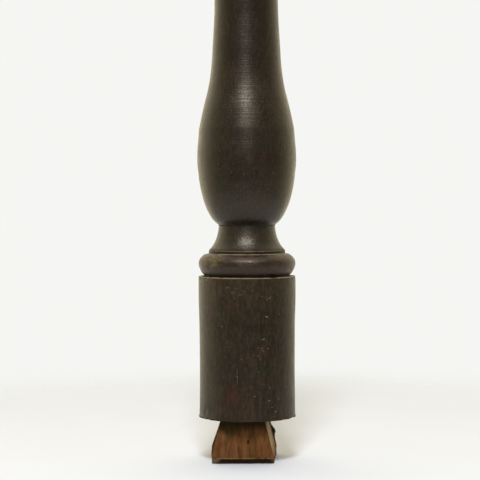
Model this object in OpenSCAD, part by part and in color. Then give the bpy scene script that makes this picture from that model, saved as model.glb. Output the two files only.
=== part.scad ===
// Turned wooden stair baluster with a dovetail tenon at its foot and a round
// pin at its top. Millimetres. +Z runs up the turning's axis, -Y is the front.
// z = 0 is the shoulder, the plane that rests on the stair tread: the dovetail
// hangs below it and the turning stands above it.

/* [Overall] */
// Height from the tread (the shoulder) to the end of the top pin
overall_h = 691; // [640:1:760]

/* [Round base] */
// Diameter of the plain round base
base_d = 44.4; // [42:0.2:48]
// Height of the plain round base
base_h = 65; // [50:1:80]
// How much thinner the base is at its waist, on the radius
base_waist = 0.5; // [0:0.1:1]
// Diameter at the bottom of the dark groove above the base
quirk_d = 39.4; // [36:0.2:41]
// Width of that groove
quirk_w = 0.8; // [0.6:0.1:2]

/* [Bead, fillet and cove] */
// Height of the large bead
bead_h = 9.6; // [7:0.2:12]
// Height of the small flat fillet above the bead
fillet_h = 1.6; // [1:0.1:3]
// Diameter of the fillet
fillet_d = 35.2; // [33:0.2:37]
// Height of the cove
cove_h = 11.4; // [9:0.2:15]
// Diameter at the sharp crease between the cove and the vase
crease_d = 25.8; // [23:0.2:28]

/* [Vase and neck] */
// Diameter of the vase at its belly
belly_d = 46; // [42:0.2:48]
// Height of the belly above the crease
belly_h = 30; // [24:1:36]
// Diameter of the neck at its narrowest
neck_d = 29; // [27:0.2:31]
// Height of the narrowest place above the belly
neck_h = 74; // [64:1:84]

/* [Collar] */
// Height of the neck's upper flare
flare_h = 31; // [26:1:40]
// Diameter of the small ring under the collar
ring_d = 40.8; // [40:0.2:43]
// Height of the small ring
ring_h = 6; // [5:0.5:8]
// Diameter of the collar
collar_d = 44.4; // [43:0.2:48]
// Height of the collar
collar_h = 12; // [9:0.5:15]

/* [Long shaft] */
// Height of the cove between the collar and the shaft
upper_cove_h = 9; // [7:0.5:12]
// Diameter at the shaft's foot
shaft_foot_d = 31; // [29:0.2:33]
// Diameter at the shaft's swelling
shaft_d = 43.6; // [40:0.2:46]
// Diameter at the top of the taper
shaft_top_d = 24; // [22.4:0.2:28]
// Diameter of the thin ring near the top
top_ring_d = 29; // [28.4:0.2:32]

/* [Top pin] */
// Diameter of the round pin that enters the handrail
pin_d = 19; // [16:0.2:21]
// Length of the pin
pin_h = 19; // [14:1:26]

/* [Dovetail tenon] */
// Height of the tenon below the shoulder
tenon_h = 20; // [16:0.5:22]
// Width of the tenon's front at the shoulder
tenon_w = 20; // [18:0.2:22]
// Width of the tenon's front at its foot, before the cheeks are trimmed
tenon_foot_w = 30; // [28:0.2:32]
// Depth of the tenon, front to back
tenon_depth = 30.4; // [27:0.2:32]
// How far the tenon's front stands to the left of the turning's axis
tenon_off = 2.2; // [0:0.1:3]
// Angle at which the left cheek opens towards the back
splay_left = 2.4; // [0:0.2:4]
// Angle at which the right cheek opens towards the back
splay_right = 4.6; // [0:0.2:6]
// Size of the bevel along the tenon's bottom front edge
tenon_bevel = 2.4; // [0.6:0.1:3]
// How much the foot of each cheek is trimmed back to stand upright
cheek_trim = 1; // [0.2:0.1:2]

/* [Tread brad] */
// Width of the cut brad's shank
brad_w = 0.8; // [0.6:0.1:1.6]
// Height of the cut brad's shank
brad_t = 1.6; // [1:0.1:2.4]
// Length of brad left in the tenon
brad_l = 14; // [8:0.5:20]
// Depth of the broken end below the tenon's face
brad_sink = 0.3; // [0.1:0.1:1]
// Height of the brad below the shoulder
brad_down = 9.8; // [6:0.2:12]

/* [Hidden] */
$fn = 96;
base_chamfer = 0.4;
tenon_root = 3;

// heights of the turning's parts, from the shoulder up
z_quirk = base_h;
z_bead = z_quirk + quirk_w;
z_fillet = z_bead + bead_h;
z_cove = z_fillet + fillet_h;
z_crease = z_cove + cove_h;
z_belly = z_crease + belly_h;
z_neck = z_belly + neck_h;
z_ring = z_neck + flare_h;
z_collar = z_ring + ring_h + 1;
z_upper_cove = z_collar + collar_h + 2;
z_shaft = z_upper_cove + upper_cove_h;
z_pin = overall_h - pin_h;
z_top_ring = z_pin - 32;

// A smooth curve through control points [height, radius]: a cubic between each
// pair, with the slope at a point taken from its two neighbours.
function slope(p, i) =
    i == 0 ? (p[1][1] - p[0][1]) / (p[1][0] - p[0][0])
    : i == len(p) - 1 ? (p[i][1] - p[i - 1][1]) / (p[i][0] - p[i - 1][0])
    : (p[i + 1][1] - p[i - 1][1]) / (p[i + 1][0] - p[i - 1][0]);
function cubic(a, b, ma, mb, h, t) =
    (2 * pow(t, 3) - 3 * t * t + 1) * a + (pow(t, 3) - 2 * t * t + t) * h * ma
    + (3 * t * t - 2 * pow(t, 3)) * b + (pow(t, 3) - t * t) * h * mb;
function smooth(p, n) = [
    for (i = [0 : len(p) - 2], k = [0 : n - 1])
        let (h = p[i + 1][0] - p[i][0], t = k / n)
            [p[i][0] + t * h, cubic(p[i][1], p[i + 1][1], slope(p, i), slope(p, i + 1), h, t)],
    p[len(p) - 1]
];

// A curve's control points are shares: a height from 0 to 1 of the curve's own
// height, and a radius from 0, the first diameter, to 1, the second.
function span(shares, z0, h, d0, d1) = [
    for (s = shares) [z0 + s[0] * h, (d0 + s[1] * (d1 - d0)) / 2]
];

// A small bead: an arc from its foot to its top, with the given radii at foot,
// belly and top. belly is the belly's height, as a share of the bead's own.
function bead(z0, h, r0, r1, r2, belly, n) = concat(
    [for (k = [0 : n]) let (a = 90 * (1 - k / n))
        [z0 + belly * h * (1 - sin(a)), r0 + (r1 - r0) * cos(a)]],
    [for (k = [1 : n]) let (a = 90 * k / n)
        [z0 + belly * h + (1 - belly) * h * sin(a), r2 + (r1 - r2) * cos(a)]]
);

// faint waist of the base, from its lower lip to its top
waist = [[0, 0], [0.02, 0.5], [0.15, 0.75], [0.35, 1], [0.55, 0.8], [0.7, 0.5], [0.8, 0.1], [0.88, 0], [1, 0]];

// large bead: its underside is nearly a straight bevel and its top is rounder
bead_under = [[0, 0], [0.12, 0.24], [0.3, 0.47], [0.5, 0.68], [0.7, 0.86], [0.88, 0.97], [1, 1]];
bead_over = [[0, 0], [0.3, 0.05], [0.5, 0.16], [0.67, 0.32], [0.8, 0.48], [0.9, 0.64], [0.97, 0.8], [1, 1]];
function large_bead(z0, h, d0, d1, d2) = concat(
    smooth(span(bead_under, z0, h / 2, d0, d1), 2),
    smooth(span(bead_over, z0 + h / 2 + 0.01, h / 2 - 0.01, d1, d2), 2)
);

// lower bowl of the vase, from the crease up to the belly
bowl = [[0, 0], [0.06, 0.17], [0.17, 0.39], [0.31, 0.585], [0.46, 0.735], [0.62, 0.85], [0.78, 0.935], [0.9, 0.985], [1, 1]];
// long shoulder of the vase, from the belly up to the neck
shoulder = [[0, 0], [0.06, 0.012], [0.13, 0.06], [0.19, 0.125], [0.25, 0.225], [0.32, 0.355], [0.38, 0.48], [0.44, 0.61], [0.5, 0.715], [0.57, 0.8], [0.63, 0.85], [0.7, 0.885], [0.8, 0.94], [0.9, 0.985], [1, 1]];
// flare from the neck up to the ring
flare = [[0, 0], [0.25, 0.02], [0.5, 0.1], [0.7, 0.28], [0.87, 0.58], [1, 1]];
// cove, from the fillet down to the crease
hollow = [[0, 0], [0.09, 0.21], [0.18, 0.38], [0.28, 0.54], [0.4, 0.68], [0.56, 0.82], [0.75, 0.93], [0.9, 0.985], [1, 1]];
// foot of the long shaft, from its narrow start to its swelling
swell = [[0, 0], [0.07, 0.26], [0.18, 0.5], [0.34, 0.72], [0.55, 0.88], [0.78, 0.975], [1, 1]];
// long taper, from the swelling to the top
taper = [[0, 0], [0.1, 0.03], [0.25, 0.14], [0.45, 0.36], [0.65, 0.62], [0.85, 0.88], [1, 1]];

profile = concat(
    // round base
    [[0, 0], [0, base_d / 2 - base_chamfer], [base_chamfer, base_d / 2]],
    smooth(span(waist, base_chamfer + 1, base_h - 2 * base_chamfer - 2, base_d, base_d - 2 * base_waist), 3),
    [[base_h - base_chamfer, base_d / 2], [base_h, base_d / 2 - base_chamfer]],
    // groove, then bead
    [[base_h, quirk_d / 2], [z_bead, quirk_d / 2]],
    large_bead(z_bead + 0.01, bead_h - 0.02, quirk_d + 0.6, base_d, fillet_d + 1.2),
    // fillet and cove
    [[z_fillet, fillet_d / 2]],
    smooth(span(hollow, z_cove, cove_h, fillet_d - 0.6, crease_d), 3),
    // vase and neck
    smooth(span(bowl, z_crease + 0.01, belly_h - 0.01, crease_d, belly_d), 2),
    smooth(span(shoulder, z_belly, neck_h, belly_d, neck_d), 3),
    // flare, small ring and collar
    smooth(span(flare, z_neck, flare_h, neck_d, ring_d - 5), 3),
    bead(z_ring, ring_h, ring_d / 2 - 1.6, ring_d / 2, ring_d / 2 - 1.6, 0.5, 5),
    [[z_ring + ring_h + 0.01, ring_d / 2 - 2.8], [z_collar, ring_d / 2 - 2.8]],
    large_bead(z_collar + 0.01, collar_h, collar_d - 5, collar_d, collar_d - 7),
    [[z_collar + collar_h + 0.02, shaft_foot_d / 2 + 3], [z_upper_cove, shaft_foot_d / 2 + 3]],
    smooth(span(hollow, z_upper_cove + 0.01, upper_cove_h - 0.01, shaft_foot_d + 5.4, shaft_foot_d), 2),
    // long shaft
    smooth(span(swell, z_shaft + 0.01, 44, shaft_foot_d, shaft_d), 3),
    smooth(span(taper, z_shaft + 44.02, z_top_ring - z_shaft - 44.02, shaft_d, shaft_top_d), 4),
    // thin ring, plain top and pin
    bead(z_top_ring + 0.01, 5, shaft_top_d / 2 + 0.7, top_ring_d / 2, shaft_top_d / 2 + 0.7, 0.5, 5),
    [[z_top_ring + 5.02, shaft_top_d / 2 - 0.3], [z_pin, shaft_top_d / 2 - 0.7]],
    [[z_pin, pin_d / 2], [overall_h - 0.8, pin_d / 2], [overall_h, pin_d / 2 - 0.8], [overall_h, 0]]
);

module turning() {
    rotate_extrude($fn = 96) polygon([for (p = profile) [max(p[1], 0), p[0]]]);
}

// everything outside one cheek of the dovetail: side is -1 for the left cheek
// and 1 for the right one, lean is the cheek's angle from upright
module off_cheek(side, at, lean, splay) {
    translate([side * at - tenon_off, -tenon_depth / 2, 0])
        rotate([0, 0, -side * splay]) rotate([0, -side * lean, 0])
            translate([side > 0 ? 0 : -40, -20, -60]) cube([40, 80, 120]);
}

// the dovetail, sawn from the foot of the same round length of wood, so its
// corners end on that round
module dovetail() {
    flare = atan((tenon_foot_w - tenon_w) / 2 / tenon_h);
    intersection() {
        difference() {
            translate([-30, -tenon_depth / 2, -tenon_h]) cube([60, tenon_depth, tenon_h + tenon_root]);
            off_cheek(-1, tenon_w / 2, flare, splay_left);
            off_cheek(1, tenon_w / 2, flare, splay_right);
            off_cheek(-1, tenon_foot_w / 2 - cheek_trim, 0, splay_left);
            off_cheek(1, tenon_foot_w / 2 - cheek_trim, 0, splay_right);
            // bevel along the bottom front edge
            translate([0, -tenon_depth / 2, -tenon_h]) rotate([45, 0, 0])
                cube([80, tenon_bevel * sqrt(2), tenon_bevel * sqrt(2)], center = true);
        }
        translate([0, 0, -tenon_h - 1]) cylinder(h = tenon_h + tenon_root + 2, d = base_d - 0.2, $fn = 96);
    }
}

module brad_space(extra) {
    translate([0.2 - brad_w / 2, -tenon_depth / 2 + brad_sink - extra, -brad_down - brad_t / 2])
        cube([brad_w, brad_l + extra, brad_t]);
}

module turned_baluster() {
    color([0.2, 0.16, 0.12]) difference() {
        union() {
            turning();
            dovetail();
        }
        brad_space(brad_sink + 1);
    }
}

module tread_brad() {
    color([0.12, 0.09, 0.08]) brad_space(0);
}

turned_baluster();
tread_brad();
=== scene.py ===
import math

import bpy
import numpy as np
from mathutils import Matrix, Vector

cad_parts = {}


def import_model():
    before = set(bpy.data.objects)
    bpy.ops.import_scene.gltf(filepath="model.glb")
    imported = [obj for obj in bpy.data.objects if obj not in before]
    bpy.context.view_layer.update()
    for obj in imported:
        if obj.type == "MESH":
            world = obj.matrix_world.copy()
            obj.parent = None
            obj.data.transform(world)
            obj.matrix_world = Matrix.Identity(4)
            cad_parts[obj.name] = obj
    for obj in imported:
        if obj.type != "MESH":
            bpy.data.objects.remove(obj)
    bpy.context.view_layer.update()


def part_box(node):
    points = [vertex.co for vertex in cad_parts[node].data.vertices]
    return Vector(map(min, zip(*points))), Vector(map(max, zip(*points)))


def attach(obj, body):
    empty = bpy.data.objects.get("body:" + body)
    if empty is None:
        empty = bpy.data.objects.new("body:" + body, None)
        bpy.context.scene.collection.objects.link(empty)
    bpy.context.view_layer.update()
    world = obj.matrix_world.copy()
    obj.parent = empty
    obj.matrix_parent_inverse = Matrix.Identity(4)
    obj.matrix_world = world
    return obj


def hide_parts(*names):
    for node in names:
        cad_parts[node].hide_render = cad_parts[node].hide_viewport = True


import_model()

MM = 0.001
low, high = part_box("turned_baluster")
Z_TOP = high.z / MM      # end of the top pin, mm above the shoulder
Z_FOOT = low.z / MM      # foot of the dovetail, mm (below the shoulder)


# ---------------------------------------------------------------- noise
def _hash(ix, iy, iz, seed):
    h = (ix.astype(np.uint32) * np.uint32(374761393)
         + iy.astype(np.uint32) * np.uint32(668265263)
         + iz.astype(np.uint32) * np.uint32(2246822519)
         + np.uint32((seed * 3266489917) & 0xFFFFFFFF))
    h = (h ^ (h >> np.uint32(15))) * np.uint32(2246822519)
    h = (h ^ (h >> np.uint32(13))) * np.uint32(3266489917)
    h = h ^ (h >> np.uint32(16))
    return h.astype(np.float64) / 4294967295.0


def vnoise(p, seed=1):
    """Smooth value noise from 0 to 1 at the points p (n, 3)."""
    i = np.floor(p).astype(np.int64)
    f = p - i
    u = f * f * f * (f * (f * 6 - 15) + 10)
    out = 0.0
    for dx in (0, 1):
        wx = u[:, 0] if dx else 1 - u[:, 0]
        for dy in (0, 1):
            wy = u[:, 1] if dy else 1 - u[:, 1]
            for dz in (0, 1):
                wz = u[:, 2] if dz else 1 - u[:, 2]
                out = out + wx * wy * wz * _hash(i[:, 0] + dx, i[:, 1] + dy, i[:, 2] + dz, seed)
    return out


def fbm(p, seed=1, octaves=3):
    total, amp, norm = 0.0, 1.0, 0.0
    for k in range(octaves):
        total = total + amp * vnoise(p * (2.03 ** k), seed + 17 * k)
        norm += amp
        amp *= 0.5
    return total / norm


def smoothstep(a, b, x):
    t = np.clip((x - a) / (b - a), 0, 1)
    return t * t * (3 - 2 * t)


# ---------------------------------------------------------------- the turning's profile, in mm
# The same control points as the CAD model: height share, radius share.
BASE_D, BASE_H, WAIST = 44.4, 65.0, 0.5
QUIRK_D, QUIRK_W = 39.4, 0.8
BEAD_H, FILLET_H, FILLET_D, COVE_H, CREASE_D = 9.6, 1.6, 35.2, 11.4, 25.8
BELLY_D, BELLY_H, NECK_D, NECK_H = 46.0, 30.0, 29.0, 74.0
FLARE_H, RING_D, RING_H, COLLAR_D, COLLAR_H = 31.0, 40.8, 6.0, 44.4, 12.0
UP_COVE_H, FOOT_D, SHAFT_D, SHAFT_TOP_D, TOP_RING_D = 9.0, 31.0, 43.6, 24.0, 29.0
PIN_D, PIN_H = 19.0, 19.0

Z_BEAD = BASE_H + QUIRK_W
Z_FILLET = Z_BEAD + BEAD_H
Z_COVE = Z_FILLET + FILLET_H
Z_CREASE = Z_COVE + COVE_H
Z_BELLY = Z_CREASE + BELLY_H
Z_NECK = Z_BELLY + NECK_H
Z_RING = Z_NECK + FLARE_H
Z_COLLAR = Z_RING + RING_H + 1
Z_UP_COVE = Z_COLLAR + COLLAR_H + 2
Z_SHAFT = Z_UP_COVE + UP_COVE_H
Z_PIN = Z_TOP - PIN_H
Z_TOP_RING = Z_PIN - 32

waist = [(0, 0), (.02, .5), (.15, .75), (.35, 1), (.55, .8), (.7, .5), (.8, .1), (.88, 0), (1, 0)]
bead_under = [(0, 0), (.12, .24), (.3, .47), (.5, .68), (.7, .86), (.88, .97), (1, 1)]
bead_over = [(0, 0), (.3, .05), (.5, .16), (.67, .32), (.8, .48), (.9, .64), (.97, .8), (1, 1)]
bowl = [(0, 0), (.06, .17), (.17, .39), (.31, .585), (.46, .735), (.62, .85), (.78, .935), (.9, .985), (1, 1)]
shoulder = [(0, 0), (.06, .012), (.13, .06), (.19, .125), (.25, .225), (.32, .355), (.38, .48), (.44, .61),
            (.5, .715), (.57, .8), (.63, .85), (.7, .885), (.8, .94), (.9, .985), (1, 1)]
flare = [(0, 0), (.25, .02), (.5, .1), (.7, .28), (.87, .58), (1, 1)]
hollow = [(0, 0), (.09, .21), (.18, .38), (.28, .54), (.4, .68), (.56, .82), (.75, .93), (.9, .985), (1, 1)]
swell = [(0, 0), (.07, .26), (.18, .5), (.34, .72), (.55, .88), (.78, .975), (1, 1)]
taper = [(0, 0), (.1, .03), (.25, .14), (.45, .36), (.65, .62), (.85, .88), (1, 1)]


def smooth(p, n):
    """A cubic through control points (height, radius), sampled n times a span."""
    def slope(i):
        a, b = max(i - 1, 0), min(i + 1, len(p) - 1)
        return (p[b][1] - p[a][1]) / (p[b][0] - p[a][0])
    out = []
    for i in range(len(p) - 1):
        h = p[i + 1][0] - p[i][0]
        ma, mb = slope(i), slope(i + 1)
        for k in range(n):
            t = k / n
            out.append((p[i][0] + t * h,
                        (2 * t**3 - 3 * t**2 + 1) * p[i][1] + (t**3 - 2 * t**2 + t) * h * ma
                        + (3 * t**2 - 2 * t**3) * p[i + 1][1] + (t**3 - t**2) * h * mb))
    out.append(p[-1])
    return out


def span(shares, z0, h, d0, d1):
    return [(z0 + s * h, (d0 + t * (d1 - d0)) / 2) for s, t in shares]


def arc_bead(z0, h, r0, r1, r2, n=14):
    low_half = [(z0 + h / 2 * (1 - math.sin(a)), r0 + (r1 - r0) * math.cos(a))
                for a in (math.pi / 2 * (1 - k / n) for k in range(n + 1))]
    top_half = [(z0 + h / 2 + h / 2 * math.sin(a), r2 + (r1 - r2) * math.cos(a))
                for a in (math.pi / 2 * k / n for k in range(1, n + 1))]
    return low_half + top_half


def line(a, b):
    return [a, b]


# Runs of the profile, from the shoulder to the pin, as (points, spacing in mm).
# Where two runs meet there is an arris or a crease.
runs = [
    (smooth(span(waist, 0, BASE_H, BASE_D, BASE_D - 2 * WAIST), 8), .62),
    (line((BASE_H, BASE_D / 2), (BASE_H + .05, QUIRK_D / 2)), .45),
    (line((BASE_H + .05, QUIRK_D / 2), (Z_BEAD, QUIRK_D / 2 + .1)), .25),
    (smooth(span(bead_under, Z_BEAD, BEAD_H / 2, QUIRK_D + .6, BASE_D), 8)
     + smooth(span(bead_over, Z_BEAD + BEAD_H / 2, BEAD_H / 2, BASE_D, FILLET_D + 1.2), 8)[1:], .3),
    (line((Z_FILLET, FILLET_D / 2 + .6), (Z_FILLET + .02, FILLET_D / 2)), .2),
    (line((Z_FILLET + .02, FILLET_D / 2), (Z_COVE, FILLET_D / 2 - .1)), .3),
    (smooth(span(hollow, Z_COVE, COVE_H, FILLET_D - .3, CREASE_D), 8), .4),
    (smooth(span(bowl, Z_CREASE, BELLY_H, CREASE_D, BELLY_D), 8)
     + smooth(span(shoulder, Z_BELLY, NECK_H, BELLY_D, NECK_D), 8)[1:]
     + smooth(span(flare, Z_NECK, FLARE_H, NECK_D, RING_D - 5), 8)[1:], .74),
    (line((Z_RING, RING_D / 2 - 2.5), (Z_RING + .02, RING_D / 2 - 1.6)), .4),
    (arc_bead(Z_RING + .02, RING_H, RING_D / 2 - 1.6, RING_D / 2, RING_D / 2 - 1.6), .5),
    (line((Z_RING + RING_H + .04, RING_D / 2 - 2.8), (Z_COLLAR, RING_D / 2 - 2.8)), .5),
    (smooth(span(bead_under, Z_COLLAR, COLLAR_H / 2, COLLAR_D - 5, COLLAR_D), 6)
     + smooth(span(bead_over, Z_COLLAR + COLLAR_H / 2, COLLAR_H / 2, COLLAR_D, COLLAR_D - 7), 6)[1:], .55),
    (line((Z_COLLAR + COLLAR_H + .03, FOOT_D / 2 + 3), (Z_UP_COVE, FOOT_D / 2 + 3)), .5),
    (smooth(span(hollow, Z_UP_COVE + .02, UP_COVE_H, FOOT_D + 5.4, FOOT_D), 6), .6),
    (smooth(span(swell, Z_SHAFT + .02, 44, FOOT_D, SHAFT_D), 6)
     + smooth(span(taper, Z_SHAFT + 44.04, Z_TOP_RING - Z_SHAFT - 44.04, SHAFT_D, SHAFT_TOP_D), 8)[1:], 3.2),
    (line((Z_TOP_RING, SHAFT_TOP_D / 2), (Z_TOP_RING + .02, SHAFT_TOP_D / 2 + .7)), .4),
    (arc_bead(Z_TOP_RING + .02, 5, SHAFT_TOP_D / 2 + .7, TOP_RING_D / 2, SHAFT_TOP_D / 2 + .7), .5),
    (line((Z_TOP_RING + 5.04, SHAFT_TOP_D / 2 - .3), (Z_PIN, SHAFT_TOP_D / 2 - .7)), 2.0),
    (line((Z_PIN, SHAFT_TOP_D / 2 - .7), (Z_PIN + .02, PIN_D / 2)), .6),
    (line((Z_PIN + .02, PIN_D / 2), (Z_TOP - .8, PIN_D / 2)), 1.5),
    (line((Z_TOP - .8, PIN_D / 2), (Z_TOP, PIN_D / 2 - .8)), .4),
]


def resample(pts, ds):
    p = np.array([(r, z) for z, r in pts])
    seg = np.hypot(*np.diff(p, axis=0).T)
    s = np.concatenate([[0], np.cumsum(seg)])
    keep = np.concatenate([[True], seg > 1e-9])
    n = max(int(round(s[-1] / ds)), 1)
    t = np.linspace(0, s[-1], n + 1)
    return np.stack([np.interp(t, s[keep], p[keep, 0]), np.interp(t, s[keep], p[keep, 1])], 1)


def build_profile():
    """The whole profile (r, z), with every arris and crease slightly rounded."""
    path = resample(*runs[0])
    for pts, ds in runs[1:]:
        nxt = resample(pts, ds)
        if np.hypot(*(nxt[0] - path[-1])) < .12:
            nxt = nxt[1:] if len(nxt) > 1 else nxt
        path = np.concatenate([path, nxt])
    # round the sharp turns: each is replaced by a short quadratic curve
    out = [path[0]]
    for k in range(1, len(path) - 1):
        a, b, c = path[k - 1], path[k], path[k + 1]
        u, v = b - a, c - b
        lu, lv = np.hypot(*u), np.hypot(*v)
        turn = math.degrees(math.acos(max(-1, min(1, float(u @ v) / (lu * lv)))))
        if turn < 24:
            out.append(b)
            continue
        w = min(.22, lu * .45, lv * .45)
        p0, p2 = b - u / lu * w, b + v / lv * w
        for t in (0, .33, .67, 1):
            out.append((1 - t) ** 2 * p0 + 2 * t * (1 - t) * b + t * t * p2)
    out.append(path[-1])
    return np.array(out)


profile = build_profile()
# Makes up for the wear taken off below, and stays inside the CAD box (22.93 mm).
ease = smoothstep(21.8, 22.6, profile[:, 0])
more = np.where(profile[:, 1] < BASE_H + .01, .29, np.where(profile[:, 1] < Z_FILLET, .25, .16 - .26 * ease))
more = more + .34 * smoothstep(Z_CREASE + .3, Z_CREASE + 2.6, profile[:, 1]) * smoothstep(Z_BELLY - 9, Z_CREASE + 8, profile[:, 1])
more = more - .17 * np.exp(-((profile[:, 1] - 149.5) / 8.5) ** 2) - .08 * np.exp(-((profile[:, 1] - 135.) / 8.) ** 2)
profile[:, 0] += more
profile[:, 1] = np.clip(profile[:, 1], .02, Z_TOP - .02)


def bend(path, w):
    """How sharply the path turns within w mm of each point: above 0 on an arris, below 0 in a crease."""
    s = np.concatenate([[0], np.cumsum(np.hypot(*np.diff(path, axis=0).T))])
    def at(t):
        return np.stack([np.interp(t, s, path[:, 0]), np.interp(t, s, path[:, 1])], 1)
    u, v = path - at(s - w), at(s + w) - path
    u /= np.maximum(np.hypot(u[:, 0], u[:, 1]), 1e-9)[:, None]
    v /= np.maximum(np.hypot(v[:, 0], v[:, 1]), 1e-9)[:, None]
    cross = u[:, 0] * v[:, 1] - u[:, 1] * v[:, 0]
    b = np.arcsin(np.clip(cross, -1, 1)) / (math.pi / 2)
    b[(s < w) | (s > s[-1] - w)] = 0
    return b


profile_bend = bend(profile, .45)

# ---------------------------------------------------------------- the dovetail's outline, in mm
N_SIDE = (42, 56, 42, 52)                 # columns along the front, right, back and left
N = sum(N_SIDE)
OFF, DEPTH = 2.2, 30.4
BEVEL, TRIM = 2.4, 1.0


def cut_line(n, d, m, e):
    """Where the lines n.p = d and m.p = e cross."""
    return np.linalg.solve(np.array([n, m]), np.array([d, e]))


def outline(z):
    """The dovetail's outline at height z: N points, first the front's left corner, anticlockwise from above."""
    w = min(10 + .25 * -z, 15 - TRIM)
    y0 = -DEPTH / 2 + .03 + max(0., (Z_FOOT + BEVEL) - z) * .96
    y1 = DEPTH / 2 - .03
    w += .08
    front, back = ((0., -1.), -y0), ((0., 1.), y1)
    sl, sr = math.radians(-1.8 - .18 * z), math.radians(3.9)      # the left cheek is sawn with a twist
    nl = (-math.cos(sl), -math.sin(sl))
    nr = (math.cos(sr), -math.sin(sr))
    left = (nl, nl[0] * (-OFF - w) + nl[1] * (-DEPTH / 2))
    right = (nr, nr[0] * (-OFF + w) + nr[1] * (-DEPTH / 2))
    corners = [cut_line(*front, *left), cut_line(*front, *right), cut_line(*back, *right), cut_line(*back, *left)]
    pts = []
    for k, n in enumerate(N_SIDE):
        a, b = corners[k], corners[(k + 1) % 4]
        t = (np.arange(n) / n)[:, None]
        pts.append(a + (b - a) * t)
    p = np.concatenate(pts)
    r = np.hypot(p[:, 0], p[:, 1])
    p *= np.minimum(1, 22.45 / r)[:, None]        # the corners end on the round stock
    return p


# ---------------------------------------------------------------- the rows of the mesh
rows, kind, edge_rows = [], [], []        # kind: 0 foot, 1 cheeks, 2 shoulder, 3 turning, 4 pin end


def add(p2, z, k, e=0.):
    z = np.broadcast_to(np.asarray(z, float), (N,))
    rows.append(np.column_stack([p2, z]))
    kind.append(k)
    edge_rows.append(np.broadcast_to(np.asarray(e, float), (N,)))


foot = outline(Z_FOOT)
mid = np.array([-2.0, 1.0])
for s in np.linspace(.06, .94, 15):
    add(mid + (foot - mid) * s, Z_FOOT + .03, 0)
add(mid + (foot - mid) * .985, Z_FOOT + .03, 0, .5)
zs = [Z_FOOT + .1, Z_FOOT + .3]
zs += list(np.arange(Z_FOOT + .6, Z_FOOT + 1.9, .4)) + [Z_FOOT + 2.0, Z_FOOT + 2.2, Z_FOOT + 2.4, Z_FOOT + 2.6]
zs += list(np.arange(Z_FOOT + 2.85, Z_FOOT + 3.9, .3)) + [Z_FOOT + 4.0]
zs += list(np.arange(Z_FOOT + 4.4, -.35, .4)) + [-.12]
for z in zs:
    e = np.where(np.arange(N) <= N_SIDE[0], math.exp(-((z - (Z_FOOT + 2.45)) / .42) ** 2), 0.)
    if z < Z_FOOT + .2:
        e = .6
    add(outline(z), z, 1, e)
root = outline(0.)
theta = np.arctan2(root[0, 1], root[0, 0]) + 2 * math.pi * np.arange(N) / N
# turn the even circle a little, so that its columns run straight out from the corners
theta += .10
circle = np.column_stack([np.cos(theta), np.sin(theta)])
for t in (.04, .2, .4, .6, .8, .93):
    add(root * (1 - t) + circle * (BASE_D / 2 - .45) * t, .02, 2)
for k in range(len(profile)):
    add(circle * profile[k, 0], profile[k, 1], 3, profile_bend[k])
for s in (.86, .6, .35, .12):
    add(circle * profile[-1, 0] * s, Z_TOP - .03, 4)

P = np.array(rows)                        # rows x N x 3, in mm
KIND = np.repeat(np.array(kind)[:, None], N, 1)
EDGE = np.array(edge_rows)
R = len(P)

# normals of the undisturbed grid
along = np.empty_like(P)
along[1:-1] = P[2:] - P[:-2]
along[0], along[-1] = P[1] - P[0], P[-1] - P[-2]
across = np.roll(P, -1, 1) - np.roll(P, 1, 1)
NRM = np.cross(across, along)
NRM /= np.maximum(np.linalg.norm(NRM, axis=2, keepdims=True), 1e-9)

flat = P.reshape(-1, 3)
ang = np.arctan2(flat[:, 0], -flat[:, 1])             # 0 at the front, + to the right
zz = flat[:, 2]
k_ = KIND.reshape(-1)
e_ = EDGE.reshape(-1)
turned = (k_ == 3)
depth = np.zeros(len(flat))               # how far each point goes in, mm

# the stock has shrunk a little oval, and the turning isn't quite even
depth += turned * .05 * (1 + np.cos(2 * (ang - .6))) / 2
depth += turned * .07 * smoothstep(.35, .8, fbm(flat / (13., 13., 22.), 3))
depth += turned * .02 * vnoise(flat / (2.2, 2.2, 3.4), 5)
# ridges that the gouge left, close enough to run round as one thread
thread = zz * 2 * math.pi / 2.3 + ang * .5
depth += turned * .012 * (1 + np.sin(thread + 2.2 * fbm(flat / 9., 8))) / 2 * smoothstep(70, 92, zz)

# worn and chipped arrises
rr = np.hypot(flat[:, 0], flat[:, 1])
chip = fbm(np.column_stack([np.sin(ang) * 5.2, np.cos(ang) * 5.2, zz * .12]), 21, 3)
chip2 = vnoise(np.column_stack([np.sin(ang) * 15., np.cos(ang) * 15., zz * .3]), 22)
for z0, reach, amount in ((BASE_H, .9, .30), (0., .9, .28), (Z_FILLET, .5, .25), (Z_COVE, .45, .2),
                          (Z_RING, .5, .25), (Z_RING + RING_H, .5, .25), (Z_COLLAR + COLLAR_H, .6, .3),
                          (Z_TOP_RING + 2.5, 1.5, .2), (Z_PIN, .8, .3), (Z_TOP, .8, .16)):
    near = np.exp(-((zz - z0) / reach) ** 2) * turned
    depth += near * amount * smoothstep(.52, .8, chip) + near * .12 * smoothstep(.55, .9, chip2)

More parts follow.
